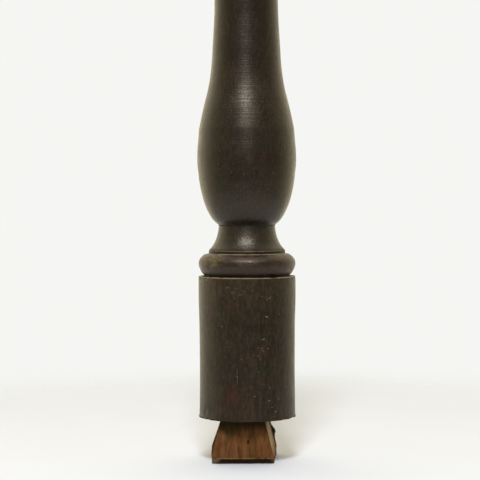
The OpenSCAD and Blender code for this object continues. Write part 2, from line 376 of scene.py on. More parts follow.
# dents and bruises: (angle in degrees from the front, z, radius, depth), mm
DENTS = [(-22, 61.5, 1.5, .22), (-13, 57.6, 1.1, .16), (-2, 56.8, 1.0, .15), (17, 47.2, .8, .26), (12, 36.6, 1.5, .18),
         (20, 33.4, 1.8, .2), (24, 12.6, .8, .22), (9, 8.6, .7, .18), (25, 6.6, .9, .24), (33, 1.8, 1.0, .24),
         (-34, 42.5, .9, .14), (-63, 64.7, .8, .22), (66, 64.6, .7, .24), (-60, 3.2, 1.4, .3), (8, 26, .7, .12),
         (16, 111, .9, .15), (15, 107.5, .8, .16), (-17, 94.5, .8, .12), (-27, 119.7, .8, .1), (-6, 118, .7, .1),
         (-50, 70.6, 2.0, .2), (40, 71.4, 1.2, .16), (118, 31, 2.4, .3), (150, 12, 1.5, .28), (200, 52, 2.0, .3),
         (-110, 22, 1.8, .26), (170, 116, 2.6, .3), (95, 121, 1.6, .2), (-140, 104, 1.3, .18), (130, 70.6, 1.8, .3),
         (-160, 69.8, 1.4, .24), (30, 238, 1.5, .3), (-80, 236, 2.0, .34), (150, 240, 1.7, .3), (70, 226.6, 1.0, .2),
         (10, 300, 2.2, .2), (-120, 330, 2.6, .28), (100, 392, 2.2, .22), (-40, 450, 1.8, .2), (180, 505, 2.4, .26),
         (60, 560, 1.6, .18), (-90, 610, 1.8, .2), (20, 641.6, 1.2, .3), (200, 643, 1.2, .3)]
radius_at = np.where(turned, rr, 22.)
for a_deg, z0, rad, dep in DENTS:
    da = (ang - math.radians(a_deg) + math.pi) % (2 * math.pi) - math.pi
    q = ((da * radius_at) ** 2 + ((zz - z0) * .85) ** 2) / rad ** 2
    depth += turned * dep * np.exp(-q * 1.4)
# two long bruises along the base's grain
for a_deg, z0, half_len, wid, dep in ((-11, 19, 6, .5, .12), (38, 30, 9, .45, .1), (140, 36, 14, .5, .14), (-130, 44, 10, .5, .12)):
    da = (ang - math.radians(a_deg) + math.pi) % (2 * math.pi) - math.pi
    depth += turned * dep * np.exp(-(da * radius_at / wid) ** 2) * smoothstep(half_len, half_len * .6, np.abs(zz - z0))

# the dovetail: saw and chisel marks, torn foot, worn corners
ten = (k_ <= 1)
col = np.tile(np.arange(N), R)
corner_cols = np.cumsum((0,) + N_SIDE)
to_corner = np.min([np.abs(col - c) for c in corner_cols], axis=0)
cheek = (k_ == 1)
saw = vnoise(np.column_stack([flat[:, 0] * .55, flat[:, 1] * .12, zz * .10]), 31)
fibre = vnoise(np.column_stack([flat[:, 0] * 1.5, flat[:, 1] * 1.5, zz * .16]), 32)
depth += cheek * (.09 * saw + .08 * fibre)
depth += cheek * .10 * np.exp(-(to_corner / .9) ** 2)
torn = fbm(np.column_stack([flat[:, 0] * .6, flat[:, 1] * .6, zz * .12]), 35, 3)
depth += cheek * .5 * smoothstep(.48, .78, torn) * smoothstep(Z_FOOT + 4.2, Z_FOOT + .2, zz)
depth += cheek * .35 * smoothstep(.5, .8, torn) * np.exp(-((zz - (Z_FOOT + 2.4)) / .8) ** 2)
depth += (k_ == 0) * (.14 * fbm(flat / (2.2, 2.2, 9.), 36, 3) + .05 * vnoise(flat / .8, 37))
depth += (k_ == 2) * .12 * fbm(flat / 1.6, 38)
depth += (k_ == 4) * .14 * fbm(flat / 1.8, 39)
# a shallow chisel step on the front face, beside the brad
frontish = cheek & (col < N_SIDE[0])
depth += frontish * .10 * smoothstep(-1.0, 1.6, flat[:, 0] - .6 + .08 * (zz + 10)) * smoothstep(-2., -7., zz)
# the brad's hole: points next to it sink and close round it
hole = np.hypot((flat[:, 0] - .2) / .45, (zz + 9.8) / .9)
depth += frontish * .34 * np.exp(-hole ** 4)

moved = flat - NRM.reshape(-1, 3) * depth[:, None]
moved[:, 2] = np.clip(moved[:, 2], Z_FOOT + .015, Z_TOP - .015)

verts = [tuple(v) for v in moved * MM]
verts.append((mid[0] * MM, mid[1] * MM, (Z_FOOT + .1) * MM))
verts.append((0., 0., (Z_TOP - .1) * MM))
faces = []
for r in range(R - 1):
    a, b = r * N, (r + 1) * N
    faces += [(a + j, a + (j + 1) % N, b + (j + 1) % N, b + j) for j in range(N)]
bottom, top = R * N, R * N + 1
faces += [(bottom, (j + 1) % N, j) for j in range(N)]
last = (R - 1) * N
faces += [(top, last + j, last + (j + 1) % N) for j in range(N)]

mesh = bpy.data.meshes.new("turned_baluster_wood")
mesh.from_pydata(verts, [], faces)
mesh.update()
mesh.polygons.foreach_set("use_smooth", [True] * len(mesh.polygons))
mesh.set_sharp_from_angle(angle=math.radians(48))

wear = np.clip(e_, 0, 1)
cavity = np.clip(-e_, 0, 1)
for name, values in (("arris", wear), ("crease", cavity)):
    att = mesh.attributes.new(name, "FLOAT", "POINT")
    att.data.foreach_set("value", np.concatenate([values, [0., 0.]]).astype(np.float32))

baluster = bpy.data.objects.new("baluster_turning_and_dovetail", mesh)
bpy.context.scene.collection.objects.link(baluster)
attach(baluster, "root")
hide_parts("turned_baluster")


# ---------------------------------------------------------------- node helpers
class Nodes:
    """Short calls for building one material's node tree."""

    def __init__(self, name):
        self.mat = bpy.data.materials.new(name)
        self.mat.use_nodes = True
        self.t = self.mat.node_tree
        self.t.nodes.clear()
        self.out = self.t.nodes.new("ShaderNodeOutputMaterial")
        self.bsdf = self.t.nodes.new("ShaderNodeBsdfPrincipled")
        self.t.links.new(self.bsdf.outputs[0], self.out.inputs["Surface"])
        tc = self.t.nodes.new("ShaderNodeTexCoord")
        self.p = self.vmath("MULTIPLY", tc.outputs["Object"], (1000., 1000., 1000.))     # in mm
        sep = self.t.nodes.new("ShaderNodeSeparateXYZ")
        self.t.links.new(self.p, sep.inputs[0])
        self.x, self.y, self.z = sep.outputs

    def _put(self, socket, v):
        if isinstance(v, bpy.types.NodeSocket):
            self.t.links.new(v, socket)
        elif v is not None:
            if isinstance(v, tuple) and len(v) == 3 and socket.type == "RGBA":
                v = (*v, 1.)
            socket.default_value = v

    def math(self, op, a, b=None, c=None, clamp=False):
        n = self.t.nodes.new("ShaderNodeMath")
        n.operation, n.use_clamp = op, clamp
        for s, v in zip(n.inputs, (a, b, c)):
            self._put(s, v)
        return n.outputs[0]

    def vmath(self, op, a, b=None):
        n = self.t.nodes.new("ShaderNodeVectorMath")
        n.operation = op
        self._put(n.inputs[0], a)
        if b is not None:
            self._put(n.inputs[1], b)
        return n.outputs["Value"] if op in ("LENGTH", "DISTANCE", "DOT_PRODUCT") else n.outputs[0]

    def combine(self, x, y, z):
        n = self.t.nodes.new("ShaderNodeCombineXYZ")
        for s, v in zip(n.inputs, (x, y, z)):
            self._put(s, v)
        return n.outputs[0]

    def noise(self, vec, scale=1., detail=2., rough=.5, distort=0., dims="3D"):
        n = self.t.nodes.new("ShaderNodeTexNoise")
        n.noise_dimensions = dims
        if dims == "1D":
            self._put(n.inputs["W"], vec)
        else:
            self._put(n.inputs["Vector"], vec)
        n.inputs["Scale"].default_value = scale
        n.inputs["Detail"].default_value = detail
        n.inputs["Roughness"].default_value = rough
        n.inputs["Distortion"].default_value = distort
        return n.outputs[0]

    def voronoi(self, vec, scale=1., feature="F1", random=1.):
        n = self.t.nodes.new("ShaderNodeTexVoronoi")
        n.feature = feature
        self._put(n.inputs["Vector"], vec)
        n.inputs["Scale"].default_value = scale
        n.inputs["Randomness"].default_value = random
        return n

    def scaled(self, sx, sy, sz, base=None):
        return self.vmath("MULTIPLY", base or self.p, (float(sx), float(sy), float(sz)))

    def range(self, v, a, b, c=0., d=1., soft=True):
        n = self.t.nodes.new("ShaderNodeMapRange")
        n.interpolation_type = "SMOOTHSTEP" if soft else "LINEAR"
        for s, val in zip(n.inputs[:5], (v, a, b, c, d)):
            self._put(s, val)
        return n.outputs[0]

    def mix(self, f, a, b, blend="MIX"):
        n = self.t.nodes.new("ShaderNodeMix")
        n.data_type, n.blend_type = "RGBA", blend
        n.clamp_factor = True
        self._put(n.inputs[0], f)
        self._put(n.inputs[6], a)
        self._put(n.inputs[7], b)
        return n.outputs[2]

    def ramp(self, f, stops):
        n = self.t.nodes.new("ShaderNodeValToRGB")
        el = n.color_ramp.elements
        while len(el) < len(stops):
            el.new(.5)
        for e, (pos, c) in zip(el, stops):
            e.position, e.color = pos, (*c, 1.) if isinstance(c, tuple) else (c, c, c, 1.)
        self._put(n.inputs[0], f)
        return n.outputs[0]

    def attribute(self, name):
        n = self.t.nodes.new("ShaderNodeAttribute")
        n.attribute_name = name
        return n.outputs["Fac"]

    def bump(self, height, distance, strength=1., normal=None):
        n = self.t.nodes.new("ShaderNodeBump")
        n.inputs["Distance"].default_value = distance
        n.inputs["Strength"].default_value = strength
        self._put(n.inputs["Height"], height)
        if normal is not None:
            self._put(n.inputs["Normal"], normal)
        return n.outputs[0]

    def add(self, *v):
        s = v[0]
        for w in v[1:]:
            s = self.math("ADD", s, w)
        return s

    def mul(self, *v):
        s = v[0]
        for w in v[1:]:
            s = self.math("MULTIPLY", s, w)
        return s

    def max(self, *v):
        s = v[0]
        for w in v[1:]:
            s = self.math("MAXIMUM", s, w)
        return s

    def cylinder_coords(self, radius=22.):
        """Mm round the surface from the front, + to the right, as one value."""
        a = self.math("ARCTAN2", self.x, self.math("MULTIPLY", self.y, -1.))
        return self.math("MULTIPLY", a, radius)

    def stroke(self, u, u0, z0, length, width, angle):
        """A soft-ended scratch: 1 along its line, 0 a width away."""
        ca, sa = math.cos(math.radians(angle)), math.sin(math.radians(angle))
        du = self.math("SUBTRACT", u, u0)
        dz = self.math("SUBTRACT", self.z, z0)
        s = self.add(self.mul(du, ca), self.mul(dz, sa))
        t = self.math("SUBTRACT", self.mul(dz, ca), self.mul(du, sa))
        s = self.math("MAXIMUM", self.math("SUBTRACT", self.math("ABSOLUTE", s), length / 2), 0.)
        d = self.math("SQRT", self.add(self.mul(s, s), self.mul(t, t)))
        return self.range(d, width / 2, width * .05, 0., 1.)


# ---------------------------------------------------------------- dark stained, varnished wood
# (mm right of the front along the surface, mm up, length, width, degrees)
MARKS = [(-8.9, 60.9, 1.3, .24, 28), (-6.7, 58.6, 1.0, .26, -17), (-4.8, 60.3, .8, .24, 71), (-3.1, 57.6, 1.4, .22, 9),
         (-10.8, 57.2, .7, .26, -52), (-1.2, 59.4, .7, .24, -38), (-7.6, 62.6, .5, .32, 80), (2.2, 59.4, .5, .24, 20),
         (-12.6, 59.2, .6, .24, 40), (.9, 56.6, 1.0, .22, -8), (-5.6, 56.2, .6, .24, 55),
         (6.4, 56.9, .6, .42, 0), (10.4, 56.2, .9, .34, 60), (9.1, 55.4, .5, .34, 0), (8.8, 47.6, 1.1, .62, -20),
         (7.3, 37.4, 1.0, .58, 30), (5.0, 33.6, .5, .34, 0), (6.6, 33.2, .5, .30, 40), (8.2, 34.0, .5, .32, 0),
         (9.4, 33.2, .7, .36, 15), (7.4, 32.2, .5, .30, 0), (2.7, 30.2, .6, .28, 40), (-2.9, 28.5, .6, .36, 0),
         (10.5, 15.6, .9, .48, 70), (3.2, 11.8, .6, .55, 0), (10.1, 9.5, .8, .62, 10), (13.6, 4.3, 1.0, .42, 20),
         (11.5, 6.4, .5, .34, 0), (12.6, 2.2, .6, .34, 0), (-4.7, 20.5, 7.0, .22, 90), (-11.9, 43.0, .6, .36, 0),
         (-13.2, 48.8, .7, .40, 30), (-21.5, 63.8, .9, .6, 0), (-16.6, 14.5, .7, .3, 60), (5.2, 22.0, 3.0, .16, 88),
         (-9.4, 35.5, 3.5, .16, 92), (12.9, 27.0, 4.0, .16, 90)]


def wood_common(g):
    """Growth rings, fibres and pores that run through the solid wood along z."""
    wander = g.noise(g.scaled(.05, .05, .011), 1., 2.)
    dx = g.math("SUBTRACT", g.x, 31.)
    dy = g.math("SUBTRACT", g.y, 46.)
    rad = g.math("SQRT", g.add(g.mul(dx, dx), g.mul(dy, dy)))
    ring = g.math("FRACT", g.math("DIVIDE", g.add(rad, g.mul(wander, 9.)), 2.7))
    ring = g.range(ring, 0., .82, 0., 1., False)
    fibre = g.noise(g.scaled(2.4, 2.4, .07), 1., 3., .6)
    fine = g.noise(g.scaled(6.5, 6.5, .22), 1., 2., .6)
    pores = g.range(g.noise(g.scaled(3.2, 3.2, .16), 1., 1., .5), .62, .74)
    return ring, fibre, fine, pores


def stained():
    g = Nodes("dark_stained_wood")
    ring, fibre, fine, pores = wood_common(g)
    u = g.cylinder_coords()
    on_base = g.range(g.z, BASE_H + .2, BASE_H - .3)
    above = g.math("SUBTRACT", 1., on_base)
    patch = g.noise(g.scaled(.07, .07, .05), 1., 3., .55)
    patch2 = g.noise(g.scaled(.16, .16, .10), 1., 3., .55)
    patch3 = g.noise(g.scaled(.21, .21, .13, g.vmath("ADD", g.p, (40., 7., 11.))), 1., 3., .55)
    # the stain: nearly black brown, redder or greener in places
    col = g.ramp(patch, [(.30, (.0085, .0066, .0046)), (.50, (.0125, .0090, .0056)), (.72, (.0185, .0125, .0072))])
    col = g.mix(g.range(patch2, .48, .66, 0., .80), col, (.0290, .0110, .0058))
    col = g.mix(g.range(patch3, .48, .66, 0., .78), col, (.0115, .0125, .0050))
    col = g.mix(g.range(ring, .55, 1., 0., .40), col, (.0060, .0045, .0030))
    col = g.mix(g.mul(g.range(fibre, .50, .68), .60), col, (.0360, .0245, .0135))
    col = g.mix(g.mul(g.range(fine, .55, .72), .50), col, (.0520, .0365, .0205))
    col = g.mix(g.mul(pores, .75), col, (.0045, .0034, .0024))
    col = g.mix(g.math("SUBTRACT", .42, g.mul(on_base, .17)), col, (.0045, .0034, .0022))
    # the base is drier: blotchy, browner towards its top
    blotch = g.noise(g.scaled(.62, .62, .30), 1., 4., .68)
    col = g.mix(g.mul(g.range(blotch, .47, .64), g.add(g.mul(on_base, .26), .22)), col, (.0400, .0255, .0120))
    col = g.mix(g.mul(g.range(blotch, .45, .32), g.add(g.mul(on_base, .42), .28)), col, (.0044, .0039, .0030))
    col = g.mix(g.mul(g.range(g.z, 44., 63.), on_base, g.range(blotch, .40, .60, .20, .48)), col, (.0480, .0305, .0165))
    # ... painted light on its left side: paler and yellower there, in a mottle, as if more light fell from the left
    left_side_light = g.mul(g.range(u, -9., -20.), g.range(g.math("ABSOLUTE", u), 62., 40.), g.range(patch2, .30, .62, .35, 1.))
    col = g.mix(g.mul(left_side_light, on_base, .17), col, (.1150, .0930, .0580))
    # the neck is darker than the vase
    col = g.mix(g.range(g.z, 138., 168., 0., .30), col, (.0050, .0036, .0026))
    # handled and dusty: lighter in a fine mottle; paler still on the bead's top and round the fillet, partly dust and
    # partly painted light on these upward-facing faces
    mottle = g.noise(g.scaled(.8, .8, .6), 1., 4., .65)
    col = g.mix(g.range(mottle, .48, .74, 0., .36), col, (.0360, .0275, .0165))
    dust_and_top_light = g.max(g.mul(g.range(g.z, 71.6, 73.6), g.range(g.z, Z_FILLET + .1, Z_FILLET - .2)),
                  g.mul(g.range(g.z, Z_FILLET, Z_FILLET + .2), g.range(g.z, Z_COVE + 4.5, Z_COVE + .8)))
    dust_and_top_light = g.mul(dust_and_top_light, g.range(mottle, .25, .65, .35, 1.))
    col = g.mix(g.mul(dust_and_top_light, .07), col, (.0950, .0720, .0360))
    # painted shade: the bead, the fillet and the cove's foot darkened, most from the bead's top to the cove's foot
    bead_and_cove_shade = g.mul(g.range(g.z, Z_COVE + 7., Z_COVE + 3.), g.range(g.z, BASE_H + .1, BASE_H + .6))
    col = g.mix(g.mul(bead_and_cove_shade, g.range(g.z, Z_FILLET - 2.6, Z_FILLET - .8, .42, .66)), col, (.0080, .0054, .0030))
    # the bead is redder, with fine pale grazes
    bead = g.mul(g.range(g.z, BASE_H + .6, BASE_H + 1.2), g.range(g.z, Z_FILLET + .1, Z_FILLET - .3))
    col = g.mix(g.mul(bead, g.range(patch2, .35, .60), .45), col, (.0270, .0120, .0080))
    tint = g.noise(g.scaled(.34, .34, .42, g.vmath("ADD", g.p, (5., 2., 31.))), 1., 4., .66)
    col = g.mix(g.mul(bead, g.range(tint, .50, .62), .75), col, (.0420, .0150, .0110))
    col = g.mix(g.mul(bead, g.range(tint, .47, .37), .75), col, (.0110, .0110, .0045))
    graze = g.noise(g.scaled(1.5, 1.5, 2.2, g.vmath("ADD", g.p, (3., 17., 9.))), 1., 4., .7)
    col = g.mix(g.mul(bead, g.range(graze, .56, .68), .34), col, (.0900, .0720, .0460))
    # a thin, redder place low on the base
    red = g.vmath("LENGTH", g.combine(g.mul(g.math("ADD", u, 6.5), .105), g.mul(g.math("SUBTRACT", g.z, 9.), .085), 0.))
    red = g.mul(g.range(red, 1., .2), on_base, g.range(g.noise(g.scaled(.5, .5, .10), 1., 2.), .38, .62))
    col = g.mix(g.mul(red, .65), col, (.0420, .0120, .0070))
    # rubbed, paler bead on the left
    rub = g.vmath("LENGTH", g.combine(g.mul(g.math("ADD", u, 17.0), .12), g.mul(g.math("SUBTRACT", g.z, 72.2), .24), 0.))
    rub = g.mul(g.range(rub, 1., .1), g.range(g.noise(g.scaled(.62, .62, .8), 1., 4., .66), .44, .60))
    col = g.mix(g.mul(rub, .55), col, (.1500, .1150, .0330))
    # worn arrises, where the finish has gone to pale wood; along the base's top edge and round the fillet the pale line
    # is also a painted highlight, where these edges catch the light from above
    def arris_line(z0, w, strength, seed):
        d = g.math("ABSOLUTE", g.math("SUBTRACT", g.z, z0))
        gap = g.noise(g.scaled(.35, .35, .5, g.vmath("ADD", g.p, (seed, seed * 2., 0.))), 1., 3., .6)
        return g.mul(g.range(d, w, w * .4), g.range(gap, .30, .50, .42, 1.), strength)
    pale_edge = g.max(arris_line(BASE_H - .06, .34, 1., 3.), arris_line(Z_FILLET + .04, .27, .80, 19.),
                 arris_line(Z_COVE - .15, .26, .34, 31.),
                 g.mul(g.range(g.attribute("arris"), .12, .42), g.range(g.z, 200., 215.),
                       g.range(g.noise(g.scaled(.9, .9, .35), 1., 3., .6), .30, .52)))
    col = g.mix(g.mul(pale_edge, .88), col, (.2650, .2150, .1350))
    # scratches and flecks
    marks = None
    fray = g.mul(g.math("SUBTRACT", g.noise(g.scaled(2.2, 2.2, 2.2), 1., 2.), .5), .9)
    uu = g.math("ADD", u, fray)
    for m in MARKS:
        s = g.stroke(uu, *m)
        marks = s if marks is None else g.max(marks, s)
    broken = g.range(g.noise(g.scaled(2.6, 2.6, 2.0), 1., 2., .6), .36, .58)
    marks = g.mul(marks, broken)
    cells = g.voronoi(g.vmath("ADD", g.p, g.vmath("MULTIPLY", g.combine(fine, fibre, fine), (1.2, 1.2, 1.2))), .50)
    flecks = g.mul(g.range(cells.outputs["Distance"], .24, .12), g.range(cells.outputs["Color"], .35, .75))
    flecks = g.mul(flecks, g.range(g.noise(g.scaled(.075, .075, .05), 1., 2.), .52, .64), g.range(fine, .35, .55))
    cells2 = g.voronoi(g.scaled(1., 1., .8), .9)
    tiny = g.mul(g.range(cells2.outputs["Distance"], .32, .14), g.range(cells2.outputs["Color"], .68, .88),
                 g.range(g.math("ABSOLUTE", g.math("SUBTRACT", g.z, 109.)), 16., 6.), g.range(fine, .40, .60))
    allm = g.max(marks, g.mul(flecks, g.add(.10, g.mul(on_base, .32))), g.mul(tiny, .36))
    col = g.mix(g.mul(allm, .85), col, (.2700, .2150, .1400))
    # painted shade in the creases and under the base's bottom edge
    near_fillet = g.range(g.math("ABSOLUTE", g.math("SUBTRACT", g.z, Z_FILLET)), .9, 1.6)
    crease = g.max(g.mul(g.range(g.attribute("crease"), .12, .5), near_fillet), g.mul(g.range(g.z, .8, .25), .85))
    col = g.mix(g.mul(crease, .85), col, (.0030, .0024, .0018))
    g._put(g.bsdf.inputs["Base Color"], col)

    # gloss: higher on the vase than on the base, with rubbed and greasy places
    low_turning = g.mul(above, g.range(g.z, Z_CREASE + .5, Z_CREASE - 1.))
    cove_foot = g.mul(g.range(g.z, Z_COVE + 1.3, Z_COVE + .3), g.range(g.z, Z_FILLET - .3, Z_FILLET + .1))
    gloss = g.add(g.mul(on_base, .06), .25, g.mul(cove_foot, .12), g.mul(low_turning, .04), g.mul(dust_and_top_light, .04),
                  g.mul(g.range(patch2, .35, .7), .07), g.mul(bead, g.range(tint, .38, .62), .10),
                  g.mul(g.noise(g.scaled(.9, .9, .5), 1., 3.), .10),
                  g.mul(pores, .15), g.mul(pale_edge, .30), g.mul(allm, .25), g.mul(crease, .4))
    g._put(g.bsdf.inputs["Roughness"], g.math("MINIMUM", gloss, .85))
    g._put(g.bsdf.inputs["Specular IOR Level"], g.math("SUBTRACT", .47, g.add(g.mul(on_base, .21), g.mul(cove_foot, .20))))
    g.bsdf.inputs["Specular Tint"].default_value = (1., .90, .74, 1.)      # seen through old amber varnish

    # bump: gouge rings, grain, pores, scratches, a faintly crazed varnish
    rings = g.noise(g.add(g.mul(g.z, 1.15), g.mul(g.noise(g.scaled(.06, .06, .05), 1., 1.), 1.4)), 1., 2., .5, 0., "1D")
    rings = g.mul(rings, g.add(g.mul(above, .85), .15), g.range(g.z, 88., 92., .35, 1.))
    craze = g.voronoi(g.scaled(1., 1., .8), .55, "DISTANCE_TO_EDGE")
    craze = g.range(craze.outputs["Distance"], 0., .06)
    grain = g.add(g.mul(fibre, .5), g.mul(fine, .35), g.mul(pores, -.55))
    n1 = g.bump(rings, .000036, 1.)
    n2 = g.bump(g.mul(grain, g.add(g.mul(on_base, .45), .55)), .00009, .9, n1)
    n3 = g.bump(g.add(g.mul(craze, .25), g.mul(g.noise(g.scaled(1.6, 1.6, 1.3), 1., 3.), .9)), .00004, .8, n2)
    pits = g.mul(g.noise(g.scaled(.95, .95, .95, g.vmath("ADD", g.p, (9., 3., 5.))), 1., 3., .65), low_turning, 1.3)
    n4 = g.bump(g.add(g.mul(allm, -1.), pits), .00012, .9, n3)
    g._put(g.bsdf.inputs["Normal"], n4)
    return g.mat


def raw():
    g = Nodes("raw_sawn_wood")
    ring, fibre, fine, pores = wood_common(g)
    fibre = g.noise(g.scaled(2.0, 2.0, .16), 1., 3., .6)
    streak = g.noise(g.scaled(.46, .46, .075), 1., 4., .62)
    wide = g.noise(g.scaled(.11, .11, .06), 1., 2.)
    col = g.ramp(streak, [(.28, (.0600, .0255, .0095)), (.48, (.1000, .0430, .0150)), (.70, (.1650, .0740, .0250))])
    col = g.mix(g.range(ring, .6, 1., 0., .35), col, (.0500, .0215, .0090))
    col = g.mix(g.mul(g.range(fibre, .48, .72), .45), col, (.2000, .0980, .0390))
    col = g.mix(g.mul(g.range(fine, .52, .74), .40), col, (.2300, .1220, .0520))
    col = g.mix(g.mul(pores, .45), col, (.0450, .0210, .0090))
    col = g.mix(g.range(wide, .50, .66, 0., .55), col, (.0700, .0460, .0120))
    warm = g.noise(g.scaled(.17, .17, .15, g.vmath("ADD", g.p, (5., 21., 13.))), 1., 2.)
    col = g.mix(g.range(warm, .46, .66, 0., .42), col, (.1400, .0530, .0220))
    # iron from the brad has blackened the wood round its hole
    hole = g.vmath("LENGTH", g.combine(g.mul(g.math("SUBTRACT", g.x, .25), 1.5), g.mul(g.math("ADD", g.z, 9.9), .80), 0.))
    hole = g.mul(g.range(hole, 1.25, .45), g.range(g.y, -11., -13.))
    col = g.mix(g.mul(hole, .80), col, (.0110, .0075, .0060))
    # stain and polish that crept in at the shoulder, with painted shade under the base's overhang darkening the
    # dovetail's top
    shoulder_stain_and_shade = g.add(g.z, g.mul(g.math("SUBTRACT", g.noise(g.scaled(.22, .22, .05), 1., 2.), .5), 3.0))
    col = g.mix(g.mul(g.range(shoulder_stain_and_shade, -6.9, -1.4, 0., .90), g.range(g.z, 60., 20.)), col, (.0215, .0150, .0070))
    # a dull olive place high on the left of the front
    olive = g.vmath("LENGTH", g.combine(g.mul(g.math("ADD", g.x, 8.), .20), g.mul(g.math("ADD", g.z, 4.5), .24), 0.))
    olive = g.mul(g.range(olive, 1., .2), g.range(g.y, -11., -13.), g.range(g.z, 60., 20.))
    col = g.mix(g.mul(olive, .55), col, (.0330, .0270, .0105))
    pin_root = g.mul(g.range(g.add(g.z, g.mul(streak, 4.)), Z_PIN + 6.5, Z_PIN + 3.), g.range(g.z, 60., 200.))
    col = g.mix(g.mul(pin_root, .75), col, (.0260, .0170, .0090))
    glue = g.mul(g.range(g.noise(g.scaled(.30, .30, .22), 1., 3., .6), .50, .64), g.range(g.z, Z_PIN + 1., Z_PIN + 3.))
    col = g.mix(g.mul(glue, .20), col, (.2300, .1650, .0800))
    ragged = g.mul(g.math("SUBTRACT", g.noise(g.scaled(.5, .5, .5), 1., 3., .6), .5), 1.3)
    # painted shade on the undercut bevel at the foot, lighter towards its two ends
    foot_bevel_shade = g.range(g.add(g.z, ragged), Z_FOOT + 2.45, Z_FOOT + 1.75)
    ends = g.max(g.range(g.x, -11.8, -13.6), g.range(g.x, 9.6, 11.6))
    col = g.mix(g.mul(foot_bevel_shade, g.math("SUBTRACT", 1., g.mul(ends, .9)), .84), col, (.0150, .0095, .0060))
    # paler arris along the bevel and corners
    pale_edge = g.mul(g.range(g.attribute("arris"), .3, .95), g.range(g.noise(g.scaled(.8, .8, .8), 1., 2.), .30, .5))
    col = g.mix(g.mul(pale_edge, .55), col, (.2500, .1700, .0900))
    tan = g.mul(g.max(g.range(g.x, -12.2, -14.6), g.mul(g.range(g.x, 9.8, 12.2), .45)), g.range(g.z, Z_FOOT + 2.5, Z_FOOT + 2.0))
    col = g.mix(g.mul(tan, .75), col, (.2000, .1600, .0860))
    grey_foot = g.range(g.add(g.z, ragged), Z_FOOT + 1.1, Z_FOOT + .3)
    col = g.mix(g.mul(grey_foot, .5), col, (.0560, .0450, .0340))
    # the left cheek is dark, the right one paler and sawn; on the right cheek, painted shade darkens it towards the
    # back, and its pale front strip is partly a painted grazing reflection
    left = g.range(g.math("SUBTRACT", g.x, g.mul(g.z, .25)), -12.0, -12.5)
    left = g.mul(left, g.range(g.z, 1., -.5))
    col = g.mix(g.mul(left, .75), col, (.0420, .0250, .0130))
    side = g.range(g.math("ADD", g.x, g.mul(g.z, .25)), 7.72, 7.86)
    back = g.add(g.y, g.mul(g.math("SUBTRACT", g.noise(g.scaled(.4, .4, .25), 1., 2.), .5), 9.))
    col = g.mix(g.mul(side, g.range(back, 2., 11.), .8), col, (.0700, .0430, .0210))
    side = g.mul(side, g.range(back, 10., -1.), g.range(g.y, -15.4, -15.0), g.range(g.z, -1., -3.8, .45, 1.), g.range(g.z, 1., -.5))
    tone = g.mix(g.range(g.z, -10., -17.), (.5200, .4000, .2500), (.3100, .2050, .1150))
    col = g.mix(g.mul(side, g.range(g.add(g.mul(fine, .5), g.mul(streak, .5)), .34, .60, .42, .92)), col, tone)
    g._put(g.bsdf.inputs["Base Color"], col)
    g._put(g.bsdf.inputs["Roughness"], g.math("ADD", .60, g.mul(fibre, .22)))
    g.bsdf.inputs["Specular IOR Level"].default_value = 0.
    saw = g.noise(g.scaled(.5, .16, 1.9), 1., 2., .5)
    grain = g.add(g.mul(fibre, .7), g.mul(fine, .55), g.mul(pores, -.9), g.mul(saw, .35))
    g._put(g.bsdf.inputs["Normal"], g.bump(grain, .00020, 1.))
    return g.mat


stain_mat, raw_mat = stained(), raw()
mesh.materials.append(stain_mat)
mesh.materials.append(raw_mat)
row_of = np.concatenate([np.repeat(np.arange(R - 1), N), np.zeros(N, int), np.full(N, R - 2)])
kinds = np.array(kind)
row_z = P[:, :, 2].mean(1)
is_raw = (kinds[row_of] <= 2) | (row_z[row_of] > Z_PIN + .01)
mesh.polygons.foreach_set("material_index", is_raw.astype(np.int32))


